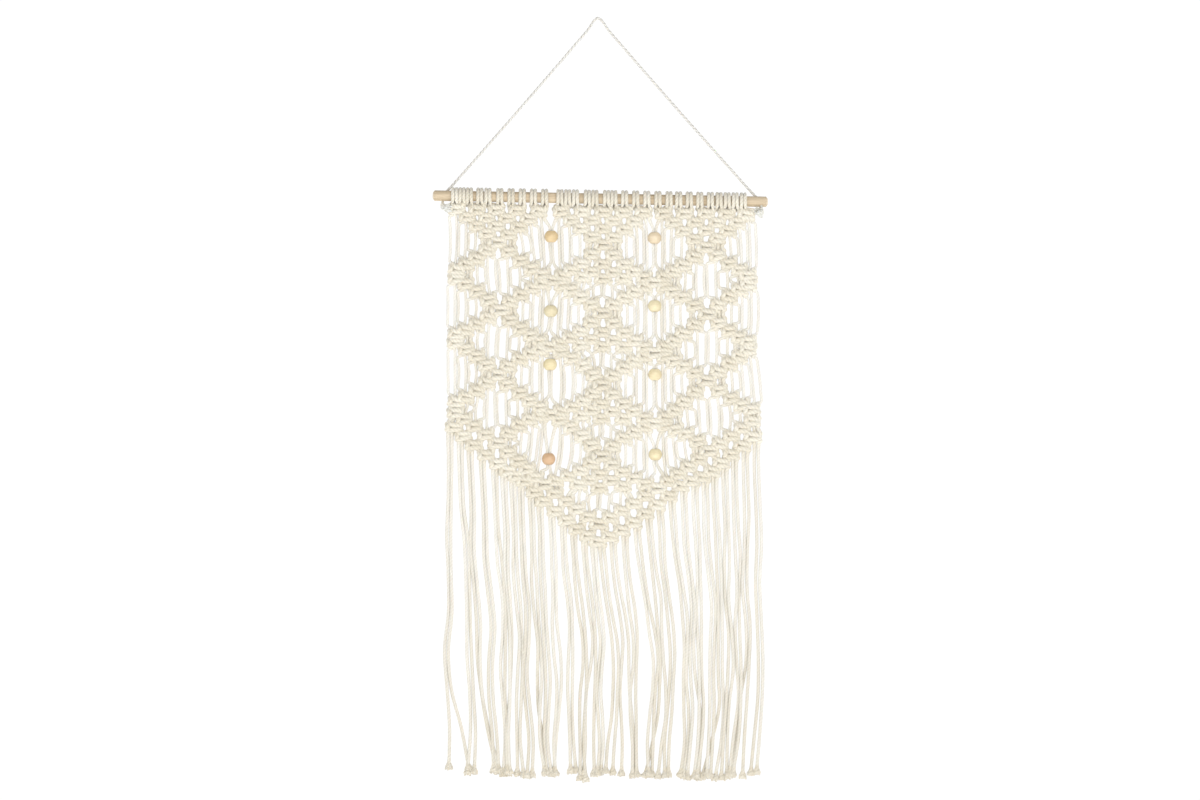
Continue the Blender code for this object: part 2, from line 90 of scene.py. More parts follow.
# Drop of the rows at five places across the net.
ROWS = np.array((
    # row, left edge, left, middle, right, right edge
    (1, 0.0155, 0.0155, 0.0155, 0.0155, 0.0155),
    (5, 0.0500, 0.0530, 0.0530, 0.0550, 0.0500),
    (10, 0.0896, 0.0925, 0.0976, 0.0931, 0.0902),
    (15, 0.1262, 0.1320, 0.1308, 0.1314, 0.1274),
    (20, 0.1629, 0.1680, 0.1755, 0.1749, 0.1652),
    (25, 0.2012, 0.2047, 0.2132, 0.2081, 0.2029),
    (30, 0.2413, 0.2430, 0.2579, 0.2556, 0.2436),
    (35, 0.2876, 0.2785, 0.2945, 0.2819, 0.2937),
    (40, 0.3400, 0.3243, 0.3368, 0.3265, 0.3420),
    (45, 0.4000, 0.3952, 0.3723, 0.3975, 0.4020),
    (48, 0.4400, 0.4400, 0.4030, 0.4400, 0.4400),
))
ROW_PLACES = (1.0, 7.5, 15.0, 22.5, 29.0)

# How far the columns have wandered sideways at the tip's drop.
LEAN = np.array((
    # column, x
    (0, -0.0023),
    (10, -0.0052),
    (15, -0.0040),
    (20, 0.0017),
    (25, 0.0023),
    (30, 0.0011),
))

# How far the strands stand aside of their columns at thirteen places across the net, in mm.
ASIDE_PLACES = (0, 2.5, 5, 7.5, 10, 12.5, 15, 17.5, 20, 22.5, 25, 27.5, 30)
ASIDE = np.array((
    # row, at each place from the left edge to the right edge
    (1, -1, -2, -4, -4, -1, 0, 0, 0, -1.5, -1, 0, 0, -2),
    (5, 1, -2, -3, 2, 0, -1.5, 0, 3, 0, -4, 0, 3.5, 0),
    (10, -1, -4.5, -2, 2.2, 2, 1, 0, 0, 0, -2.3, -0.7, 2.9, -1.5),
    (15, -2, -1, 0.5, 2, 0, -2.5, 0, 3.5, 0, -5.5, 1, 4.5, 2.5),
    (20, -1, -4.5, -2, 1.6, -1.5, 0, 0, 0, 0, -0.5, 0.7, 2, -2.5),
    (25, -1, -0.5, -2, 1.5, 1.5, 5.5, 0, 2, 0, -4, 0, 4.5, 4),
    (30, 0, -3.5, -2.9, 1, 1, 0, 0, 0, 0, 0, 2.5, 5.5, 4),
    (35, -4.5, -5.5, 0, 2, 0, 4, 0, 2, 0, -1, 2, 4, 6),
    (40, -6, 0, 2, -3, -5.5, -3, -1.5, 0, 1.5, 6, 9, 9.5, 7.5),
    (46, -6, 0, 0, 0, -3, -1, -1.5, 0, 1.5, 3, 3, 3, 4),
))

# Beads, with the column they hang in and the rows of the knots above and below them.
BEADS = (
    # name, column, row above, row below, drop, slot, tone
    ("bead_left_1", 10, 1, 9, 0.0444, "bead_orange", (0.80, 0.63, 0.37)),
    ("bead_left_2", 10, 11, 19, 0.1297, "bead_tan", (0.84, 0.77, 0.54)),
    ("bead_left_3", 10, 21, 29, 0.1909, "bead_pale", (0.89, 0.80, 0.52)),
    ("bead_left_4", 10, 31, 39, 0.2990, "bead_brown", (0.74, 0.51, 0.32)),
    ("bead_right_1", 20, 1, 9, 0.0438, "bead_tan", (0.85, 0.73, 0.54)),
    ("bead_right_2", 20, 11, 19, 0.1217, "bead_pale", (0.88, 0.80, 0.55)),
    ("bead_right_3", 20, 21, 29, 0.2001, "bead_orange", (0.90, 0.80, 0.54)),
    ("bead_right_4", 20, 31, 39, 0.2916, "bead_tan", (0.87, 0.78, 0.52)),
)

# The fringe hangs in bunches: how many pairs of cords, where the bunch hangs half way
# down and at its end, how wide it is there, and the drop of its ends.
BUNCHES = (
    # pairs, middle_x, middle_width, end_x, end_width, end_drop
    (1, -0.1737, 0.0040, -0.1663, 0.0120, 0.6570),
    (2, -0.1446, 0.0130, -0.1377, 0.0225, 0.6620),
    (1, -0.1245, 0.0045, -0.1194, 0.0060, 0.6600),
    (2, -0.1062, 0.0110, -0.1045, 0.0120, 0.6630),
    (2, -0.0879, 0.0130, -0.0862, 0.0180, 0.6640),
    (2, -0.0667, 0.0140, -0.0622, 0.0130, 0.6630),
    (1, -0.0496, 0.0060, -0.0461, 0.0070, 0.6610),
    (1, -0.0335, 0.0045, -0.0324, 0.0050, 0.6600),
    (1, -0.0187, 0.0050, -0.0209, 0.0060, 0.6680),
    (2, -0.0026, 0.0130, -0.0072, 0.0125, 0.6610),
    (2, 0.0226, 0.0160, 0.0191, 0.0240, 0.6600),
    (1, 0.0397, 0.0050, 0.0374, 0.0060, 0.6630),
    (3, 0.0718, 0.0250, 0.0655, 0.0230, 0.6620),
    (3, 0.1073, 0.0200, 0.1021, 0.0220, 0.6630),
    (3, 0.1388, 0.0230, 0.1314, 0.0240, 0.6630),
    (2, 0.1634, 0.0130, 0.1554, 0.0130, 0.6600),
    (1, 0.1829, 0.0050, 0.1766, 0.0070, 0.6570),
)

# Fringe strands that cross behind their neighbours: how far aside, and from what drop.
STRAYS = (
    # cord, shift, drop
    (2, 0.0120, 0.560),
    (5, 0.0150, 0.500),
    (6, 0.0110, 0.540),
    (12, -0.0070, 0.450),
    (17, 0.0080, 0.520),
    (22, -0.0090, 0.560),
    (27, -0.0080, 0.480),
    (34, 0.0080, 0.440),
    (39, -0.0100, 0.540),
    (46, 0.0090, 0.500),
    (51, -0.0100, 0.560),
    (57, -0.0080, 0.520),
)

# Where the hanger cord meets the dowel, and how its cut ends point below it.
HANGER_ENDS = (
    # side, x on the dowel, tail_x, tail_y, tail_drop
    ("left", -0.1805, 0.0050, -0.0010, 0.0140),
    ("right", 0.1833, -0.0006, -0.0010, 0.0125),
)
HANGER_POINTS = 14               # places on each side of the nail
HANGER_ARC = (35, 52, 70, 88)    # degrees round the dowel, from straight below to its back
# From the dowel's axis to the string's middle at those places: far enough out that the
# straight steps between them don't cut into the dowel.
HANGER_ARC_RADIUS = (DOWEL_RADIUS + CLEARANCE + HANGER_RADIUS) / math.cos(math.radians(9))

# ---- sizes of the strands themselves ----------------------------------------------------
MM = 0.001
STRANDS = 60
NET_PIECES = (("left", 1, 22), ("middle", 23, 38), ("right", 39, 60))    # first, last strand
FRINGE_PIECES = (("left", 1, 30), ("right", 31, 60))
SIDES = 9                        # flat sides round a knotting strand
STEP = 0.0048                    # the longest step between rings on a straight run
BEND = math.radians(27)          # the most that a strand turns from ring to ring
FINE = 24                        # places that a smooth line gets in each of its spans
FREE_RADIUS = 0.00182            # of a strand between knots
FRINGE_RADIUS = 0.0020           # of a strand in the fringe
PACKED_RADII = (0.0021, 0.00245)  # of a strand that isn't packed at all, and of a packed one
PAIR_HALF = 1.85 * MM            # from the middle of a pair to the middle of its strands
BEAD_PAIR_HALF = 1.7 * MM        # the same inside a bead
SHORTEST_RUN = 0.003             # a strand needs no places of its own on a shorter free run
CUT_END = 0.006                  # from where a fringe strand opens to its very end
HEADS_LOW = -0.224               # the height under which no strand belongs to a head
# Painted shade: the fringe's strands darken from DARKER_FROM down, where they bunch at their ends.
DARKER_FROM = -0.64              # the height where the fringe's strands begin to darken
DARKER_OVER = 0.20               # how far below they are darkest
# Waves of the hanging strands: how far, and how fast down the drop in radians a metre.
OWN_WAVE = (0.0009, 55)          # sideways, of each strand
PAIR_WAVE = (0.0018, 38)         # sideways, of each pair
DEEP_WAVE = (0.0022, 24)         # backwards, of each strand
STRAY_DEPTH = 0.0045             # how far behind its neighbours a stray strand goes

# One square knot, in millimetres: x to the right, up, and y with the front at minus. The
# tables stop at the middle: the lower half is the upper half's mirror.
# The left working strand crosses the front twice and turns at the right.
FRONT_WORKER = np.array((
    # x, up, y, radius
    (-6.0, 4.7, -1.2, 2.05),
    (-3.6, 2.7, -3.2, 2.5),
    (0.4, 2.15, -3.9, 2.65),
    (3.6, 2.1, -3.7, 2.6),
    (6.4, 1.6, -2.6, 2.4),
    (7.6, 0.0, -1.9, 2.4),
))
# The right working strand crosses the back twice and lies over the other one's turns.
BACK_WORKER = np.array((
    # x, up, y, radius
    (7.2, 4.7, -2.0, 2.05),
    (8.5, 3.1, -1.9, 2.2),
    (8.2, 2.3, 1.0, 2.2),
    (4.8, 2.2, 3.4, 2.3),
    (0.0, 2.6, 4.0, 2.4),
    (-4.6, 2.9, 3.2, 2.3),
    (-8.1, 2.8, 0.6, 2.2),
    (-7.8, 1.7, -2.9, 2.3),
    (-6.8, 0.0, -4.3, 2.55),
))
FILLER = np.array((
    # x, up, y, radius, of the right one; the left one is its mirror
    (2.3, 4.7, -0.2, 2.0),
    (2.1, 2.4, 0.0, 2.2),
    (2.1, 0.0, 0.0, 2.2),
))
# The right strand's way round the dowel, from the middle of the fold at the back: under
# the dowel, up its front, over it, down its back and out below, in front of the fold.
LARKS_HEAD = np.array((
    # x, drop, y, radius
    (0.0, 10.6, 7.0, 2.0),
    (2.2, 10.4, 6.4, 2.0),
    (3.4, 9.7, 3.6, 1.8),
    (3.2, 8.7, -0.5, 1.8),
    (2.6, 7.2, -4.4, 1.95),
    (2.15, 4.2, -7.3, 2.05),
    (2.05, 0.0, -8.35, 2.05),
    (2.05, -5.9, -5.9, 2.05),
    (2.05, -8.35, 0.0, 2.05),
    (2.05, -5.9, 5.9, 2.05),
    (2.0, 0.0, 8.35, 2.0),
    (1.9, 5.2, 6.8, 1.9),
    (1.85, 8.6, 3.6, 1.9),
))
# Each strand through a bead: how far below the bead's middle, and its radius there.
BEAD_RUN = ((-10.5, 1.75), (-5.0, 1.68), (0.0, 1.68), (5.0, 1.68), (10.5, 1.75))
KNOT_SCALE = (1.0, 1.33, 0.95, 1.17)  # a knot's width, height, depth and cord beside the tables
CROSSING_SCALE = (1.20, 1.15)    # width and height of a knot where two arms cross
KNOT_REACH = 0.0025              # from a knot's way out to where its strands hang free
ARM_LEAN = math.radians(10)      # how far a knot is turned along its diagonal
KNOT_TURN = math.radians(4.0)    # how far a knot is turned by chance
KNOT_SPREAD = 0.05               # how much wider or taller a knot is by chance
KNOT_SHIFT = 0.0004              # how far a knot lies off its place by chance

# ---- places ---------------------------------------------------------------------------


def world(board):
    """World places of board places (x, drop, y): down by the drop, and by the dowel's slope."""
    x, drop, y = np.moveaxis(np.asarray(board, float), -1, 0)
    z = -DOWEL_DEPTH_BELOW_NAIL - drop - x * math.tan(DOWEL_TILT)
    return np.stack([DOWEL_MIDDLE_X + x, y, z], axis=-1)


def drop_of(row, column):
    """A row's drop at a column, read across five places, gathering at the crossings."""
    across = [np.interp(row, ROWS[:, 0], ROWS[:, 1 + n]) for n in range(len(ROW_PLACES))]
    swing = SWING * math.sin(math.tau * (row - 5) / 10) if 5 < row < 45 else 0.0
    return float(np.interp(column, ROW_PLACES, across)) + swing


def column_x(column, drop):
    """A column's x: evenly spaced at the top, wandering with the square of the drop."""
    wander = np.interp(column, LEAN[:, 0], LEAN[:, 1]) * (drop / NET_REACH) ** 2
    return NET_MIDDLE_X + (column - MIDDLE_COLUMN) * COLUMN_PITCH + wander


def aside(row, column):
    """How far a knot or a strand stands aside of its column, read off the table."""
    across = [np.interp(column, ASIDE_PLACES, line[1:]) for line in ASIDE]
    return float(np.interp(row, ASIDE[:, 0], across)) * MM


def knot_x(row, column):
    """The x of a knot's middle."""
    return column_x(column, drop_of(row, column)) + aside(row, column)


def uneven(*seeds):
    """A number from -1 to 1 that looks random: the fraction of a large sine."""
    weights = (12.9898, 78.233, 37.719, 4.581)
    share = math.sin(sum(s * k for s, k in zip(seeds, weights))) * 43758.5453
    return 2 * (share - math.floor(share)) - 1


def outer_row(column):
    """The row of the last knot of a column, in the V along the net's lower edge."""
    return 47 - abs(column - MIDDLE_COLUMN)


def knotted(row, column):
    """Whether there is a square knot: diamonds' arms, the top's triangles and the centre."""
    depth = abs(column - MIDDLE_COLUMN)
    if (row + column) % 2 or not 1 <= column < LAST_COLUMN or row < 1:
        return False
    if row > 45 - depth:
        return row == outer_row(column)
    arm = (row - column) % 10 == 0 or (row + column) % 10 == 0
    top = row <= 5 and any(abs(column - m) <= 5 - row for m in (5, 15, 25))
    centre = row > 5 and 1 <= (row - 5) % 10 <= 4 and depth <= (row - 5) % 10
    return arm or top or centre


# ---- the way of one strand ---------------------------------------------------------------


def knot_way(row, column, place):
    """A strand's board places in a knot, turned and sized a little unevenly.

    The place is 0 to 3 from left to right: worker, filler, filler, worker.
    """
    upper = (FRONT_WORKER, FILLER * (-1, 1, 1, 1), FILLER, BACK_WORKER)[place]
    line = np.concatenate([upper, upper[-2::-1] * (1, -1, 1, 1)]) * KNOT_SCALE * MM
    down = knotted(row + 1, column + 1) + knotted(row - 1, column - 1)
    rise = knotted(row + 1, column - 1) + knotted(row - 1, column + 1)
    turn = KNOT_TURN * uneven(row, column, 1) + ARM_LEAN * (down - rise) / 2
    wide = 1 + KNOT_SPREAD * uneven(row, column, 2)
    tall = 1 + KNOT_SPREAD * uneven(row, column, 3)
    if row > 1 and (row - column) % 10 == 0 and (row + column) % 10 == 0:
        wide, tall = CROSSING_SCALE[0] * wide, CROSSING_SCALE[1] * tall
    x, up, y, thick = line.T * np.array([[wide], [tall], [1.0], [1.0]])
    c, s = math.cos(turn), math.sin(turn)
    middle_x = knot_x(row, column) + KNOT_SHIFT * uneven(row, column, 4)
    middle_drop = drop_of(row, column) + KNOT_SHIFT * uneven(row, column, 5)
    return np.stack([middle_x + x * c - up * s, middle_drop - up * c - x * s, y, thick], axis=-1)


def free_way(cord, above, below, start, end):
    """Places of a strand hanging straight between two knots. It hangs against the nearest
    strand of the next knot, so that a pair hangs under every column, with slits between.
    A longer pair bows aside a little, and its strands turn round each other a little."""
    column, side = cord // 2, 1 if cord % 2 == 0 else -1
    top, low = start[1] + KNOT_REACH, end[1] - KNOT_REACH
    if low - top < SHORTEST_RUN:
        return []
    for _, bead_column, row_above, row_below, bead_drop, *_ in BEADS:
        if (bead_column, row_above, row_below) == (column, above[0], below[0]):
            made = bead_way(side, column, bead_drop)
            if low - bead_drop > 0.024:      # far enough to stay together down to the knot
                foot_x = knot_x(below[0], column) - side * PAIR_HALF
                made.append((foot_x, low - 0.004, 0.0, FREE_RADIUS))
            return made
    middle = (above[0] + below[0]) / 2
    first_x, last_x = knot_x(above[0], column), knot_x(below[0], column)
    bow = aside(middle, column) - (aside(above[0], column) + aside(below[0], column)) / 2
    most = 0.1 * max(0.0, low - top - 0.010)
    bow = float(np.clip(bow, -most, most))
    turn = 1.1 * uneven(column, middle, 6)
    play_x, play_y = 0.0004, 0.0006
    made = []
    for share in np.linspace(0, 1, max(3, int((low - top) / 0.012) + 2)):
        slack = math.sin(math.pi * share) ** 0.7
        x = first_x + (last_x - first_x) * share + bow * (0.5 + 0.5 * slack)
        x += play_x * slack * uneven(cord, above[0], 7)
        x -= side * PAIR_HALF * math.cos(turn * slack)
        y = play_y * slack * uneven(cord, above[0], 8)
        y -= side * PAIR_HALF * math.sin(turn * slack)
        made.append((x, top + (low - top) * share, y, FREE_RADIUS))
    return made


def bead_way(side, column, bead_drop):
    """Places of one of a diamond's two middle strands, straight through its bead."""
    x = column_x(column, bead_drop) - side * BEAD_PAIR_HALF
    return [(x, bead_drop + below * MM, 0.0, thick * MM) for below, thick in BEAD_RUN]


def knotted_way(cord):
    """A strand's board places from the fold on the dowel to below its last knot, and how
    many of them come before that knot."""
    strip = (cord + 1) // 2
    side = -1 if cord % 2 else 1
    heads = [first + n * pitch for count, first, pitch in HEADS for n in range(count)]
    head = LARKS_HEAD * (side, 1, 1, 1) * MM + (heads[strip - 1], 0, 0, 0)
    line = [tuple(p) for p in head]
    before, last = None, 0
    for row in range(1, outer_row(MIDDLE_COLUMN) + 1):
        for column in (strip - 1, strip):
            if not knotted(row, column):
                continue
            place = (0 if cord % 2 else 1) if column == strip else (2 if cord % 2 else 3)
            knot = knot_way(row, column, place)
            if before and row - before[0] == 1:
                knot[0] = (knot[0] + line.pop()) / 2
            elif before:
                line += free_way(cord, before, (row, column), line[-1], knot[0])
            last = len(line)
            line += [tuple(p) for p in knot]
            before = (row, column)
    return line, last


def loosened(places, pitch):
    """Pushes places apart until none are closer than the pitch, from the middle outwards."""
    places, half = list(places), len(places) // 2
    for n in range(half, len(places)):
        places[n] = max(places[n], places[n - 1] + pitch)
    for n in range(half - 1, -1, -1):
        places[n] = min(places[n], places[n + 1] - pitch)
    return places


def smooth(share):
    """A share from 0 to 1 that starts and stops gently."""
    return share * share * (3 - 2 * share)


def fringe_levels(roots):
    """The x of all strands at each level, eased from their roots to their bunch's middle and
    on to its end, and the drop of all cut ends."""
    middle, low, drops = [], [], []
    for pairs, middle_x, middle_width, end_x, end_width, end_drop in BUNCHES:
        for n in range(2 * pairs):
            share = n / (2 * pairs - 1) - 0.5
            middle.append(middle_x + share * middle_width)
            low.append(end_x + share * end_width)
            drops.append(end_drop + 0.0015 * math.sin(7.3 * len(drops)))
    levels = []
    for level in FRINGE_LEVELS:
        row = []
        for (x, drop, _, _), mid, end in zip(roots, middle, low):
            if level <= drop:
                row.append(x)
            elif level <= FRINGE_MIDDLE:
                share = (level - drop) / (FRINGE_MIDDLE - drop)
                row.append(x + (mid - x) * smooth(share))
            else:
                share = (level - FRINGE_MIDDLE) / (FRINGE_END - FRINGE_MIDDLE)
                row.append(mid + (end - mid) * share * share)
        levels.append(loosened(row, FRINGE_PITCH))
    return np.array(levels), drops


def wave(size_and_speed, drop, shift):
    """How far a wave takes a hanging strand aside: its size times a sine of the drop."""
    size, speed = size_and_speed
    return size * math.sin(drop * speed + shift)


def hanging_way(cord, root, levels, drops):
    """A fringe strand's board places: down its levels to its cut end. It sways by itself and
    with its pair, less near its root, and a stray strand crosses its neighbours."""
    line = []
    for share in np.linspace(0.08, 1.0, 9):
        drop = root[1] + (drops[cord - 1] - CUT_END - root[1]) * share
        x = float(np.interp(drop, FRINGE_LEVELS, levels[:, cord - 1]))
        if drop < FRINGE_LEVELS[0]:
            x = root[0] + (x - root[0]) * share
        loose = min(1, share * 2)
        x += wave(OWN_WAVE, drop, 2.3 * uneven(cord, 1)) * min(1, share * 3)
        x += wave(PAIR_WAVE, drop, 3 * uneven((cord + 1) // 2, 11)) * loose
        y = wave(DEEP_WAVE, drop, 3 * uneven(cord, 2)) * loose
        for stray, shift, start_drop in STRAYS:
            if cord == stray:
                away = max(0.0, (drop - start_drop) / (FRINGE_END - start_drop))
                x += shift * smooth(away)
                y += STRAY_DEPTH * math.sin(math.pi * min(1, 1.3 * away))
        line.append((x, drop, y, FRINGE_RADIUS))
    return line


# ---- surfaces -----------------------------------------------------------------------------


def eased(points):
    """A smooth line through points: a centripetal Catmull-Rom spline, worked out for all
    spans at once by blending straight lines between four neighbours three times over."""
    p = np.asarray(points, float)
    p = np.concatenate([[2 * p[0] - p[1]], p, [2 * p[-1] - p[-2]]])
    gap = np.sqrt(np.maximum(np.linalg.norm(np.diff(p[:, :3], axis=0), axis=1), 1e-9))
    t0 = np.zeros(len(p) - 3)
    t1, t2 = gap[:-2], gap[:-2] + gap[1:-1]
    t3 = t2 + gap[2:]
    u = np.linspace(0, 1, FINE, endpoint=False)
    t = (t1[:, None] + (t2 - t1)[:, None] * u)[..., None]
    t0, t1, t2, t3 = (a[:, None, None] for a in (t0, t1, t2, t3))
    a, b, c, d = (q[:, None, :] for q in (p[:-3], p[1:-2], p[2:-1], p[3:]))
    ab = ((t1 - t) * a + (t - t0) * b) / (t1 - t0)
    bc = ((t2 - t) * b + (t - t1) * c) / (t2 - t1)
    cd = ((t3 - t) * c + (t - t2) * d) / (t3 - t2)
    abc = ((t2 - t) * ab + (t - t0) * bc) / (t2 - t0)
    bcd = ((t3 - t) * bc + (t - t1) * cd) / (t3 - t1)
    line = ((t2 - t) * abc + (t - t1) * bcd) / (t2 - t1)
    return np.concatenate([line.reshape(-1, p.shape[1]), p[-2:-1]])


def ringed(line, step=STEP):
    """Places on a fine line where rings go: each step costs its length over the longest
    step plus its turn over the largest turn, and the rings lie at equal cost."""
    run = np.diff(line[:, :3], axis=0)
    length = np.linalg.norm(run, axis=1)
    way = run / np.maximum(length, 1e-12)[:, None]
    turn = np.arccos(np.clip(np.sum(way[1:] * way[:-1], axis=1), -1, 1))
    cost = length / step
    cost[1:] += turn / BEND
    total = np.concatenate([[0], np.cumsum(cost)])
    at = np.linspace(0, total[-1], max(3, int(math.ceil(total[-1])) + 1))
    return np.stack([np.interp(at, total, line[:, k]) for k in range(line.shape[1])], axis=1)


def cross_axes(lines):
    """Two axes across each ring of many lines at once, carried along without twisting:
    the axis of one ring is turned the shortest way onto the next ring's plane."""
    count = max(len(line) for line in lines)
    p = np.stack([np.concatenate([line[:, :3], np.repeat(line[-1:, :3], count - len(line), axis=0)])
                  for line in lines])
    ahead = np.concatenate([p[:, 1:], p[:, -1:]], axis=1)
    behind = np.concatenate([p[:, :1], p[:, :-1]], axis=1)
    way = ahead - behind
    size = np.linalg.norm(way, axis=2, keepdims=True)
    for n in range(1, count):
        way[:, n] = np.where(size[:, n] > 1e-9, way[:, n], way[:, n - 1])
    way /= np.linalg.norm(way, axis=2, keepdims=True)
    first = np.cross(way[:, 0], (0.31, 0.83, 0.46))
    first /= np.linalg.norm(first, axis=1, keepdims=True)
    across = np.empty_like(way)
    across[:, 0] = first
    for n in range(1, count):
        before, ahead = across[:, n - 1], way[:, n]
        flat = before - ahead * np.sum(before * ahead, axis=1, keepdims=True)
        across[:, n] = flat / np.linalg.norm(flat, axis=1, keepdims=True)
    other = np.cross(way, across)
    return [(across[k, :len(line)], other[k, :len(line)], way[k, :len(line)])
            for k, line in enumerate(lines)]


def tube(line, axes, sides, lobes=0, depth=0.0, lay=0.012):
    """A round profile carried along a line whose fourth column is its radius.

    With lobes, the radius rises and falls round the ring by depth, and the lobes turn once
    round in each lay of length. Both ends are closed by a low dome. Gives vertices, faces
    as four corners each, and a (turn round, length along) pair for each corner.
    """
    across, other, way = axes
    length = np.concatenate([[0], np.cumsum(np.linalg.norm(np.diff(line[:, :3], axis=0), axis=1))])
    angle = np.arange(sides) * math.tau / sides
    turn = math.tau * length[:, None] / lay
    swell = 1 + depth * np.cos(lobes * (angle[None] - turn)) if lobes else 1.0
    radius = line[:, 3:4] * swell * np.ones((1, sides))
    outward = (np.cos(angle)[None, :, None] * across[:, None]
               + np.sin(angle)[None, :, None] * other[:, None])
    ring = line[:, None, :3] + radius[..., None] * outward
    ends = []
    for n, out in ((0, -1), (-1, 1)):
        middle, ahead = line[n, :3], out * way[n] * line[n, 3]
        rim = middle + (ring[n] - middle) * 0.62 + ahead * 0.28
        ends.append(np.concatenate([rim, [middle + ahead * 0.35]]))
    count = len(line)
    verts = np.concatenate([ring.reshape(-1, 3), *ends])
    k = np.arange(sides)
    after = (k + 1) % sides
    n = np.arange(count - 1)[:, None] * sides
    walls = np.stack([n + k, n + after, n + sides + after, n + sides + k], axis=-1).reshape(-1, 4)
    base = count * sides
    start, stop = base, base + sides + 1
    last = (count - 1) * sides
    caps = np.concatenate([
        np.stack([start + k, start + after, after, k], axis=-1),
        np.stack([last + k, last + after, stop + after, stop + k], axis=-1)])
    fans = np.concatenate([
        np.stack([np.full(sides, start + sides), start + after, start + k], axis=-1),
        np.stack([np.full(sides, stop + sides), stop + k, stop + after], axis=-1)])
    u0, u1 = k / sides, (k + 1) / sides
    v0, v1 = (np.broadcast_to(v[:, None], (count - 1, sides)) for v in (length[:-1], length[1:]))
    wall_uv = np.stack([np.stack([u + 0 * v, v], -1)
                        for u, v in ((u0, v0), (u1, v0), (u1, v1), (u0, v1))], axis=2)
    cap_uv, fan_uv = (np.concatenate([
        np.stack([np.stack([u, np.full(sides, v)], -1) for u in corners], axis=1)
        for v in (length[0], length[-1])]) for corners in ((u0, u1, u1, u0), (u0, u0, u1)))
    quad_uv = np.concatenate([wall_uv.reshape(-1, 4, 2), cap_uv])
    return verts, np.concatenate([walls, caps]), fans, quad_uv, fan_uv


def mesh_object(name, parts, finish):
    """One closed mesh object from parts, each (vertices, quads, triangles, their UVs)."""
    offset = np.cumsum([0] + [len(p[0]) for p in parts[:-1]])
    verts = np.concatenate([p[0] for p in parts])
    quads = np.concatenate([p[1] + o for p, o in zip(parts, offset)])
    tris = np.concatenate([p[2] + o for p, o in zip(parts, offset)])
    uv = np.concatenate([np.concatenate([p[3] for p in parts]).reshape(-1, 2),
                         np.concatenate([p[4] for p in parts]).reshape(-1, 2)])
    mesh = bpy.data.meshes.new(name)
    mesh.vertices.add(len(verts))
    mesh.vertices.foreach_set("co", verts.astype(np.float32).ravel())
    corners = np.concatenate([quads.ravel(), tris.ravel()])
    mesh.loops.add(len(corners))
    mesh.loops.foreach_set("vertex_index", corners.astype(np.int32))
    starts = np.concatenate([np.arange(len(quads)) * 4, 4 * len(quads) + np.arange(len(tris)) * 3])
    mesh.polygons.add(len(starts))
    mesh.polygons.foreach_set("loop_start", starts.astype(np.int32))
    mesh.update(calc_edges=True)
    mesh.validate()
    layer = mesh.uv_layers.new(name="along")
    layer.data.foreach_set("uv", uv.astype(np.float32).ravel())
    mesh.polygons.foreach_set("use_smooth", np.full(len(starts), True))
    mesh.materials.append(finish)
    obj = bpy.data.objects.new(name, mesh)
    bpy.context.scene.collection.objects.link(obj)
    return obj


def tubes_object(name, lines, finish, sides=SIDES, **twist):
    """Strands already cut in rings, as one object whose vertices know two shares for its
    finish. Packed goes from 0 where a strand hangs free to 1 in a knot, by its radius, and
    is 1 in the heads on the dowel; the finish paints shade into the packed places. Strand
    differs from strand to strand as each strand's own tone, and grows toward the ends of the
    fringe, which are a little darker with painted shade where the strands bunch."""
    axes = cross_axes(lines)
    parts = [tube(line, across, sides, **twist) for line, across in zip(lines, axes)]
    piece = mesh_object(name, parts, finish)
    height, radius = np.concatenate([
        np.append(np.repeat(line[:, 2:], sides, axis=0),
                  np.repeat(line[-1:, 2:], 2 * sides + 2, axis=0), axis=0) for line in lines]).T
    free, full = PACKED_RADII
    # Packed also sets painted shade: the finish darkens and warms the knots and the heads on the
    # dowel.
    packed = np.maximum((radius - free) / (full - free), (height - HEADS_LOW) / 0.006)
    strand = np.concatenate([np.full(len(part[0]), 0.5 + 0.5 * uneven(*line[0, :3] * 10))
                             for part, line in zip(parts, lines)])
    # Painted shade: the share grows below DARKER_FROM, so the fringe's bunched ends are darker.
    strand += 0.75 * np.clip((DARKER_FROM - height) / DARKER_OVER, 0, 1)
    for title, values in (("packed", np.clip(packed, 0, 1)), ("strand", strand)):
        layer = piece.data.attributes.new(title, "FLOAT", "POINT")
        layer.data.foreach_set("value", values.astype(np.float32))
    return piece


def cords_object(name, ways, finish, sides, step):
    """Many threads as one object. Each way is world places with a radius as fourth column."""
    return tubes_object(name, [ringed(eased(way), step) for way in ways], finish, sides)


def turned(name, profile, centre, sides, finish):
    """A profile of (radius, height) pairs turned round the Z axis: closed in both ways."""
    r, h = np.asarray(profile, float).T
    angle = np.arange(sides) * math.tau / sides
    ring = np.stack([r[:, None] * np.cos(angle), r[:, None] * np.sin(angle),
                     np.repeat(h[:, None], sides, axis=1)], axis=-1) + centre
    n, k = np.arange(len(r))[:, None], np.arange(sides)[None]
    n1, k1 = (n + 1) % len(r), (k + 1) % sides
    quads = np.stack([a * sides + b for a, b in ((n, k), (n1, k), (n1, k1), (n, k1))], axis=-1)
    u0, v0 = np.broadcast_arrays(k / sides, n / len(r))
    u1, v1 = u0 + 1 / sides, v0 + 1 / len(r)
    uv = np.stack([np.stack(p, -1) for p in ((u0, v0), (u0, v1), (u1, v1), (u1, v0))], axis=2)
    no_tris, no_uv = np.zeros((0, 3), int), np.zeros((0, 3, 2))
    part = (ring.reshape(-1, 3), quads.reshape(-1, 4), no_tris, uv.reshape(-1, 4, 2), no_uv)
    return mesh_object(name, [part], finish)


# ---- materials ----------------------------------------------------------------------------


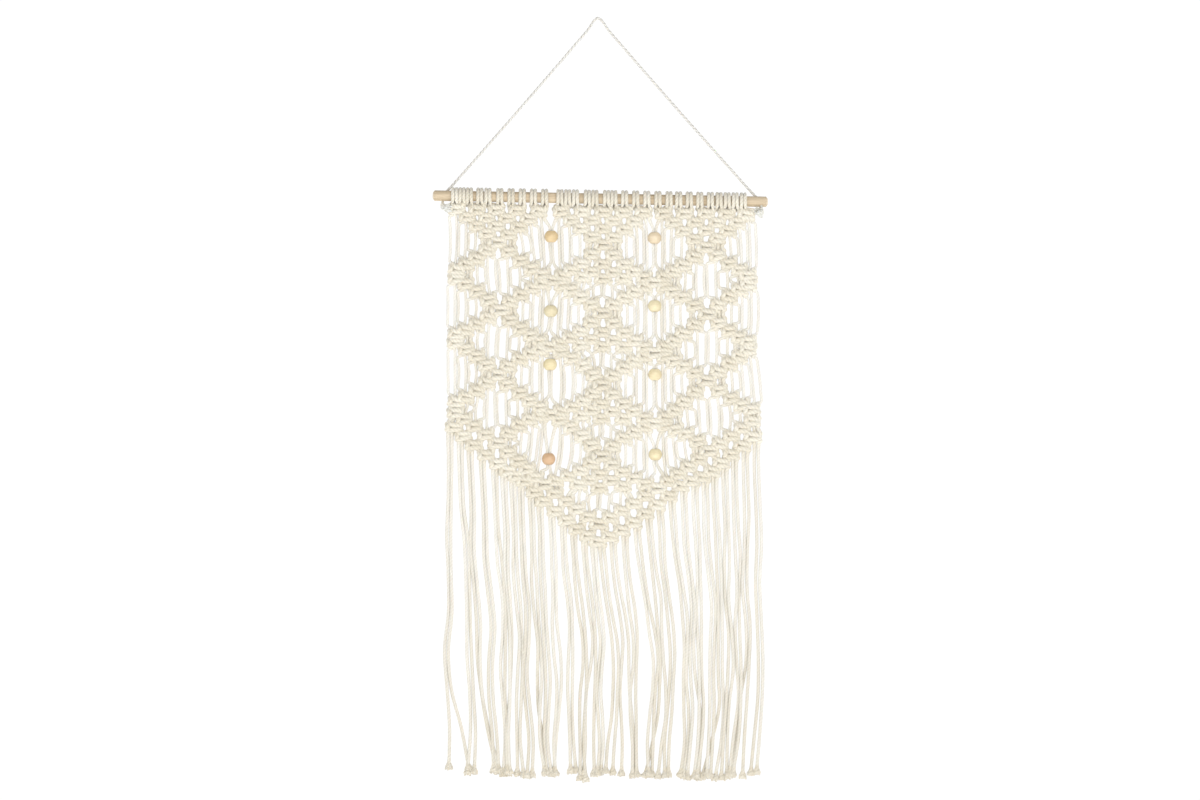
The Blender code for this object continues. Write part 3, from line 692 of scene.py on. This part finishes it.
def group(name, inputs, outputs):
    """An empty shader node group with named inputs (name, type, value) and outputs."""
    made = bpy.data.node_groups.new(name, "ShaderNodeTree")
    for title, kind, value in inputs:
        socket = made.interface.new_socket(name=title, in_out="INPUT", socket_type=kind)
        if value is not None:
            socket.default_value = value
    for title, kind in outputs:
        made.interface.new_socket(name=title, in_out="OUTPUT", socket_type=kind)
    return made, made.nodes.new("NodeGroupInput"), made.nodes.new("NodeGroupOutput")


def feed(tree, value, socket):
    """Sets a socket to a plain number, or links another node's socket to it."""
    if isinstance(value, (int, float)):
        socket.default_value = value
    else:
        tree.links.new(value, socket)


def maths(tree, kind, *values):
    """A Math node on sockets or plain numbers; gives its output socket."""
    node = tree.nodes.new("ShaderNodeMath")
    node.operation = kind
    for value, socket in zip(values, node.inputs):
        feed(tree, value, socket)
    return node.outputs[0]


def noise(tree, vector, scale, detail=2.0, roughness=0.5):
    """Noise round 0.5 at places given by a socket; gives its output socket."""
    node = tree.nodes.new("ShaderNodeTexNoise")
    node.inputs["Scale"].default_value = scale
    node.inputs["Detail"].default_value = detail
    node.inputs["Roughness"].default_value = roughness
    tree.links.new(vector, node.inputs["Vector"])
    return node.outputs["Fac"]


def carried(tree, name):
    """A share that the mesh's vertices carry; gives its output socket."""
    node = tree.nodes.new("ShaderNodeAttribute")
    node.attribute_name = name
    return node.outputs["Fac"]


def two_tones(tree, share, light, dark, start, stop):
    """Colours from light to dark as a share goes from start to stop; gives the socket."""
    node = tree.nodes.new("ShaderNodeValToRGB")
    first, last = node.color_ramp.elements
    first.position, last.position = start, stop
    first.color, last.color = (*light, 1), (*dark, 1)
    tree.links.new(share, node.inputs["Fac"])
    return node.outputs["Color"]


def tinted(tree, color, share, tint):
    """A colour multiplied by a tint as far as a share says, even past 1; gives the socket.
    Used for painted shade and for each strand's own tone.
    """
    node = tree.nodes.new("ShaderNodeMix")
    node.data_type, node.blend_type, node.clamp_factor = "RGBA", "MULTIPLY", False
    tree.links.new(share, node.inputs["Factor"])
    tree.links.new(color, node.inputs["A"])
    node.inputs["B"].default_value = (*tint, 1)
    return node.outputs["Result"]


def raised(tree, shader, height, strength, distance):
    """A bump from a height, on a shader's normal."""
    node = tree.nodes.new("ShaderNodeBump")
    node.inputs["Distance"].default_value = distance
    feed(tree, strength, node.inputs["Strength"])
    tree.links.new(height, node.inputs["Height"])
    tree.links.new(node.outputs["Normal"], shader.inputs["Normal"])


def new_finish(name, settings):
    """A material with these settings on its shader; gives it, its tree and its shader."""
    made = bpy.data.materials.new(name)
    made.use_nodes = True
    shader = made.node_tree.nodes["Principled BSDF"]
    for title, value in settings.items():
        shader.inputs[title].default_value = value
    return made, made.node_tree, shader


def twisted_plies():
    """Plies laid round a strand: a rounded ridge for each, from the turn round plus the
    length along over the lay, and fine fibres that run along the plies."""
    tree, given, out = group(
        "twisted plies",
        (("Along", "NodeSocketVector", None), ("Plies", "NodeSocketFloat", 3.0),
         ("Lay", "NodeSocketFloat", 0.012)),
        (("Height", "NodeSocketFloat"), ("Groove", "NodeSocketFloat")))
    parts = tree.nodes.new("ShaderNodeSeparateXYZ")
    tree.links.new(given.outputs["Along"], parts.inputs[0])
    turn = maths(tree, "MULTIPLY", parts.outputs["X"], given.outputs["Plies"])
    rise = maths(tree, "DIVIDE", parts.outputs["Y"], given.outputs["Lay"])
    rise = maths(tree, "MULTIPLY", rise, given.outputs["Plies"])
    phase = maths(tree, "ADD", turn, rise)
    off = maths(tree, "SUBTRACT", maths(tree, "FRACT", phase), 0.5)
    off = maths(tree, "MULTIPLY", maths(tree, "ABSOLUTE", off), 2.0)
    # Groove is 1 where two plies meet: the cotton darkens its colour there as painted shade.
    groove = maths(tree, "POWER", off, 2.6)
    place = tree.nodes.new("ShaderNodeCombineXYZ")
    tree.links.new(maths(tree, "MULTIPLY", phase, 5.0), place.inputs["X"])
    tree.links.new(maths(tree, "MULTIPLY", parts.outputs["Y"], 220.0), place.inputs["Y"])
    fibre = noise(tree, place.outputs[0], scale=1.0, detail=3.0, roughness=0.6)
    ridge = maths(tree, "SUBTRACT", 1.0, groove)
    tree.links.new(maths(tree, "MULTIPLY_ADD", fibre, 0.35, ridge), out.inputs["Height"])
    tree.links.new(groove, out.inputs["Groove"])
    return tree


def cotton(name, light, dark, packed_shade, twist, plies=3.0, lay=-0.012):
    """Matte twisted cotton: two tones mixed by painted shade in the grooves between the plies
    and by slow uneven bleaching, then darker and warmer with painted shade where the strands
    are packed, and darker as far as each strand says: its own tone, and painted shade at the
    fringe's ends."""
    made, tree, shader = new_finish(name, {
        "Roughness": 0.92, "Specular IOR Level": 0.2, "Sheen Weight": 0.8, "Sheen Roughness": 0.4,
        "Subsurface Weight": 0.12, "Subsurface Radius": (1.0, 0.85, 0.65),
        "Subsurface Scale": 0.0015})
    along = tree.nodes.new("ShaderNodeUVMap")
    along.uv_map = "along"
    plied = tree.nodes.new("ShaderNodeGroup")
    plied.node_tree = twist
    plied.inputs["Plies"].default_value = plies
    plied.inputs["Lay"].default_value = lay
    tree.links.new(along.outputs[0], plied.inputs["Along"])
    place = tree.nodes.new("ShaderNodeTexCoord")
    bleached = noise(tree, place.outputs["Object"], scale=45.0)
    bleached = maths(tree, "MULTIPLY", bleached, 0.5)
    packed = carried(tree, "packed")
    # Painted shade: the grooves darken the colour, deeper where the strands are packed; the same
    # depth also sets the bump.
    depth = maths(tree, "MULTIPLY_ADD", packed, 0.12, 0.45)
    shade = maths(tree, "MULTIPLY_ADD", plied.outputs["Groove"], depth, bleached)
    color = two_tones(tree, shade, light, dark, start=0.15, stop=0.95)
    # Painted shade in the knots and the heads on the dowel: darker and warmer as far as packed
    # says.
    color = tinted(tree, color, packed, packed_shade)
    # Each strand's own tone, and painted shade at the fringe's ends where the strands bunch.
    color = tinted(tree, color, carried(tree, "strand"), (0.92, 0.90, 0.86))
    tree.links.new(color, shader.inputs["Base Color"])
    raised(tree, shader, plied.outputs["Height"], strength=depth, distance=0.0011)
    return made


def wood_grain():
    """Long fine grain: noise on coordinates drawn out along X, with broad growth bands."""
    tree, given, out = group(
        "wood grain",
        (("Place", "NodeSocketVector", None), ("Fineness", "NodeSocketFloat", 900.0),
         ("Draw", "NodeSocketFloat", 0.04)),
        (("Grain", "NodeSocketFloat"), ("Bands", "NodeSocketFloat")))
    parts = tree.nodes.new("ShaderNodeSeparateXYZ")
    tree.links.new(given.outputs["Place"], parts.inputs[0])
    drawn = tree.nodes.new("ShaderNodeCombineXYZ")
    length = maths(tree, "MULTIPLY", parts.outputs["X"], given.outputs["Draw"])
    tree.links.new(length, drawn.inputs["X"])
    tree.links.new(parts.outputs["Y"], drawn.inputs["Y"])
    tree.links.new(parts.outputs["Z"], drawn.inputs["Z"])
    scaled = tree.nodes.new("ShaderNodeVectorMath")
    scaled.operation = "SCALE"
    tree.links.new(drawn.outputs[0], scaled.inputs[0])
    tree.links.new(given.outputs["Fineness"], scaled.inputs["Scale"])
    fine = noise(tree, scaled.outputs[0], scale=1.0, detail=4.0, roughness=0.65)
    broad = noise(tree, scaled.outputs[0], scale=0.28)
    tree.links.new(fine, out.inputs["Grain"])
    tree.links.new(broad, out.inputs["Bands"])
    return tree


def wood(name, light, dark, grain, fineness, draw, roughness, coat=0.0):
    """Wood with grain and bands mixed between two tones, and a faint raised grain."""
    made, tree, shader = new_finish(name, {
        "Roughness": roughness, "Coat Weight": coat, "Coat Roughness": 0.3})
    place = tree.nodes.new("ShaderNodeTexCoord")
    drawn = tree.nodes.new("ShaderNodeGroup")
    drawn.node_tree = grain
    drawn.inputs["Fineness"].default_value = fineness
    drawn.inputs["Draw"].default_value = draw
    tree.links.new(place.outputs["Object"], drawn.inputs["Place"])
    bands = maths(tree, "MULTIPLY", drawn.outputs["Bands"], 0.5)
    tone = maths(tree, "MULTIPLY_ADD", drawn.outputs["Grain"], 0.6, bands)
    color = two_tones(tree, tone, light, dark, start=0.35, stop=0.78)
    tree.links.new(color, shader.inputs["Base Color"])
    raised(tree, shader, drawn.outputs["Grain"], strength=0.35, distance=0.0002)
    return made


# ---- pieces -------------------------------------------------------------------------------


def settle(piece, slot, *nodes):
    """Every piece rides on the one body and stands for its nodes, which are hidden. The slot is not
    used.
    """
    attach(piece, "root")
    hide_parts(*nodes)
    return piece


def with_radius(places, radius):
    """Places with a radius, or one for each of them, as their fourth column."""
    column = np.broadcast_to(np.reshape(radius, (-1, 1)), (len(places), 1))
    return np.concatenate([places, column], axis=1)


def on_arc(x, degrees):
    """World places of the string behind the dowel, at angles from straight below."""
    turn = np.radians(degrees)
    drop, y = HANGER_ARC_RADIUS * np.cos(turn), HANGER_ARC_RADIUS * np.sin(turn)
    return world(np.stack([np.full(len(turn), x), drop, y], axis=1))


def hanger_route():
    """World places of the hanger string: behind the left end of the dowel, up to the nail
    with a slight sag, and down to the right end."""
    (_, left_x, *_), (_, right_x, *_) = HANGER_ENDS
    left_arc, right_arc = on_arc(left_x, HANGER_ARC), on_arc(right_x, HANGER_ARC)
    nail = np.array((0.0, 0.0, HANGER_RADIUS))
    share = np.arange(1, HANGER_POINTS)[:, None] / HANGER_POINTS
    sag = np.concatenate([0 * share, 0 * share, -0.0012 * np.sin(math.pi * share)], axis=1)
    left = left_arc[-1] + (nail - left_arc[-1]) * share + sag
    right = nail + (right_arc[-1] - nail) * share + sag
    return np.concatenate([left_arc, left, [nail], right, right_arc[::-1]])


def tail_route(x, tail_x, tail_y, tail_drop):
    """World places of the string's short cut end: on from its arc behind the dowel, down."""
    second, first = on_arc(x, HANGER_ARC[1::-1])
    aim = (first - second) / np.linalg.norm(first - second)
    line = [first + aim * s for s in (0.0003, 0.0028, 0.0050, 0.0072)]
    for share, drop in ((0.45, 0.0135), (1.0, tail_drop)):
        z = world((x, drop, 0))[2]
        line.append(np.array((first[0] + tail_x * share, line[-1][1] + tail_y, z)))
    return np.array(line)


def frayed(end, way, radius, seeds, count, length, flare):
    """Ways of a cut end's loose threads, spreading from it like a brush."""
    across = np.cross(way, (0.0, 1.0, 0.0))
    across /= np.linalg.norm(across)
    out = np.cross(way, across)
    share = np.array((-0.35, 0.0, 0.4, 1.0))[:, None]
    thick = radius * np.array((0.42, 0.45, 0.42, 0.30))
    made = []
    for n in range(count):
        turn = math.tau * (n + 0.3 * uneven(*seeds, n)) / count
        side = across * math.cos(turn) + out * math.sin(turn)
        long = length * (1 + 0.3 * uneven(*seeds, n, 2))
        wide = flare * (1 + 0.33 * uneven(*seeds, n, 3))
        spread = np.array((0.35, 0.5, 0.85, wide))[:, None]
        made.append(with_radius(end + way * long * share + side * radius * spread, thick))
    return made


def tuft(end, way, seeds):
    """Ways of a fringe strand's cut end: its plies open in a soft flare, with a few loose
    threads round it."""
    bend = np.array((0.0011 * uneven(*seeds, 5), 0.0011 * uneven(*seeds, 6), 0.0))
    wide = 1 + 0.2 * uneven(*seeds, 7)
    share = np.array((0.0, 0.3, 0.6, 0.85, 1.0))[:, None]
    line = end + way * (0.0105 * share - 0.0062) + bend * share ** 2
    thick = FRINGE_RADIUS * np.array((1.0, 1.2, 1.65 * wide, 2.05 * wide, 1.8 * wide))
    threads = frayed(end, way, 1.75 * FRINGE_RADIUS, seeds, count=10, length=0.0048, flare=1.05)
    return with_radius(line, thick), threads


def make_camera():
    """A long lens straight in front. The width is what the view takes in at the hanging."""
    distance, width = 6.0, 1.3735
    middle_x, middle_z = 0.0023, -0.4354
    data = bpy.data.cameras.new("camera")
    data.sensor_width = 36.0
    data.lens = data.sensor_width * distance / width
    data.clip_end = 50.0
    camera = bpy.data.objects.new("camera", data)
    camera.location = (middle_x, -distance, middle_z)
    camera.rotation_euler = (math.radians(90), 0, 0)
    bpy.context.scene.collection.objects.link(camera)
    bpy.context.scene.camera = camera


def make_light():
    """Bright studio light: a white surround, a large soft key, a fill and two rims."""
    scene = bpy.context.scene
    scene.view_settings.view_transform = "Standard"
    scene.view_settings.look = "None"
    surround = bpy.data.worlds.new("studio")
    surround.use_nodes = True
    tree = surround.node_tree
    back = tree.nodes["Background"]
    back.inputs["Color"].default_value = (1.0, 1.0, 1.0, 1.0)
    seen = tree.nodes.new("ShaderNodeLightPath").outputs["Is Camera Ray"]
    lighting, brighter_to_camera = 0.35, 0.70
    level = maths(tree, "MULTIPLY_ADD", seen, brighter_to_camera, lighting)
    tree.links.new(level, back.inputs["Strength"])
    scene.world = surround
    target = Vector((0.0, 0.0, -0.45))
    for name, place, size, power in (("key", (1.1, -2.9, 0.3), 2.6, 55.0),
                                     ("fill", (-1.7, -2.4, -0.6), 1.5, 20.0),
                                     ("rim_left", (-2.3, 1.5, -0.2), 1.5, 32.0),
                                     ("rim_right", (2.3, 1.5, -0.2), 1.5, 32.0)):
        data = bpy.data.lights.new(name, "AREA")
        data.size = size
        data.energy = power
        lamp = bpy.data.objects.new(name, data)
        lamp.location = place
        lamp.rotation_euler = (target - Vector(place)).to_track_quat("-Z", "Y").to_euler()
        scene.collection.objects.link(lamp)


def make_floor():
    """A plain pale floor, well below the fringe."""
    half, level = 6.0, -1.45
    corners = [(x * half, y * half, level) for x, y in ((-1, -1), (1, -1), (1, 1), (-1, 1))]
    mesh = bpy.data.meshes.new("floor")
    mesh.from_pydata(corners, [], [(0, 1, 2, 3)])
    pale, _, _ = new_finish("floor_pale", {
        "Base Color": (0.93, 0.93, 0.93, 1), "Roughness": 0.9,
        "Emission Color": (1.0, 1.0, 1.0, 1), "Emission Strength": 0.35})
    mesh.materials.append(pale)
    floor = bpy.data.objects.new("floor", mesh)
    bpy.context.scene.collection.objects.link(floor)


def make_hanger(string, tail):
    """The string over the nail, its two tails, and their frayed ends."""
    for side, x, tail_x, tail_y, tail_drop in HANGER_ENDS:
        route = tail_route(x, tail_x, tail_y, tail_drop)
        aim = route[-1] - route[-2]
        aim /= np.linalg.norm(aim)
        thick = HANGER_RADIUS * np.array((1.0, 1.05, 1.8, 1.7, 1.1, 1.1))
        mouth, spread = route[-1] - aim * 0.003, 2.5 * HANGER_RADIUS
        threads = frayed(mouth, aim, spread, (x * 100, 1), count=16, length=0.0085, flare=1.2)
        ways = [with_radius(route, thick), *threads]
        piece = cords_object(f"hanger_tail_{side}", ways, tail, sides=8, step=0.0015)
        settle(piece, "hanger_string", f"hanger_knot_{side}")
    line = ringed(eased(with_radius(hanger_route(), HANGER_RADIUS)), step=0.0016)
    piece = tubes_object("hanger_string", [line], string, sides=10, lobes=2, depth=0.10, lay=0.011)
    settle(piece, "hanger_string", "hanger")


def make_strands(finish, cut_finish):
    """All the strands, each cut above its last knot in the net's part and the fringe's."""
    ways = {cord: knotted_way(cord) for cord in range(1, STRANDS + 1)}
    levels, drops = fringe_levels([line[-1] for line, _ in ways.values()])
    upper, lower, tufts = {}, {}, {}
    for cord, (line, last) in ways.items():
        whole = np.array(line + hanging_way(cord, line[-1], levels, drops))
        fine = eased(with_radius(world(whole[:, :3]), whole[:, 3]))
        cut = last * FINE - FINE // 2
        upper[cord], lower[cord] = fine[:cut + 1], fine[cut:]
        aim = fine[-1, :3] - fine[-8, :3]
        tufts[cord] = tuft(fine[-1, :3], aim / np.linalg.norm(aim), (cord, 4))

    for part, first, last in NET_PIECES:
        lines = [ringed(upper[c]) for c in range(first, last + 1)]
        settle(tubes_object(f"net_cords_{part}", lines, finish), "cotton_cord", "net")
    for part, first, last in FRINGE_PIECES:
        cords = range(first, last + 1)
        hanging = tubes_object(f"fringe_cords_{part}", [ringed(lower[c]) for c in cords], finish)
        opened = [tufts[c][0] for c in cords]
        opened = cords_object(f"fringe_ends_{part}", opened, cut_finish, sides=9, step=0.0025)
        threads = [way for c in cords for way in tufts[c][1]]
        threads = cords_object(f"fringe_threads_{part}", threads, cut_finish, sides=5, step=0.0045)
        for piece in (hanging, opened, threads):
            settle(piece, "cotton_cord", "fringe")


def make_beads(grain):
    """Turned beads: a ball's outside from mouth to mouth, and its bore back up. Each one's
    darker grain is mixed from its own tone."""
    reach = math.acos(BEAD_BORE / BEAD_RADIUS) - 0.05
    high = BEAD_RADIUS * math.sin(reach)
    outer = [(BEAD_RADIUS * math.cos(a), BEAD_RADIUS * math.sin(a))
             for a in np.linspace(-reach, reach, 19)]
    inner = [(BEAD_BORE + 0.0001, h) for h in np.linspace(high - 0.0003, 0.0003 - high, 6)]
    for name, column, _, _, drop, slot, tone in BEADS:
        dark = [share * t for share, t in zip((0.80, 0.74, 0.66), tone)]
        finish = wood(name + "_finish", tone, dark, grain, fineness=620.0, draw=0.25,
                      roughness=0.38, coat=0.25)
        centre = world((column_x(column, drop), drop, 0.0))
        piece = turned(name + "_wood", outer + inner, centre, sides=40, finish=finish)
        settle(piece, slot, name)


def make_dowel(grain):
    """The stick: a circle of slightly uneven radius carried along, with eased ends."""
    half = DOWEL_LENGTH / 2
    eases = np.array((0.0, 0.0002, 0.0006))
    along = np.concatenate([eases - half, np.linspace(-half + 0.004, half - 0.004, 40),
                            half - eases[::-1]])
    radius = DOWEL_RADIUS * (1 + 0.006 * np.sin(along * 61) + 0.004 * np.sin(along * 143 + 1))
    radius[[0, -1]] *= 0.94
    radius[[1, -2]] *= 0.98
    axis = np.array((math.cos(DOWEL_TILT), 0.0, -math.sin(DOWEL_TILT)))
    line = with_radius(world((0.0, 0.0, 0.0)) + along[:, None] * axis, radius)
    finish = wood("dowel_wood", (0.79, 0.65, 0.46), (0.47, 0.37, 0.24), grain, fineness=800.0,
                  draw=0.035, roughness=0.55)
    piece = mesh_object("dowel_stick", [tube(line, cross_axes([line])[0], sides=40)], finish)
    settle(piece, "dowel_wood", "dowel")


make_camera()
twist = twisted_plies()
grain = wood_grain()
# The second tint paints shade into the knots and heads: a little darker and warmer.
plain, packed_shade_tint = (1.0, 1.0, 1.0), (1.0, 0.975, 0.915)
two_plies = (2.0, 0.011)
make_hanger(
    cotton("hanger_string", (0.84, 0.83, 0.80), (0.62, 0.61, 0.59), plain, twist, *two_plies),
    cotton("hanger_tail", (0.83, 0.83, 0.78), (0.70, 0.70, 0.64), plain, twist, *two_plies))
make_strands(
    cotton("cotton_cord", (0.87, 0.85, 0.79), (0.75, 0.72, 0.64), packed_shade_tint, twist),
    cotton("cotton_cut_ends", (0.87, 0.83, 0.735), (0.77, 0.725, 0.625), plain, twist))
make_beads(grain)
make_dowel(grain)
make_light()
make_floor()
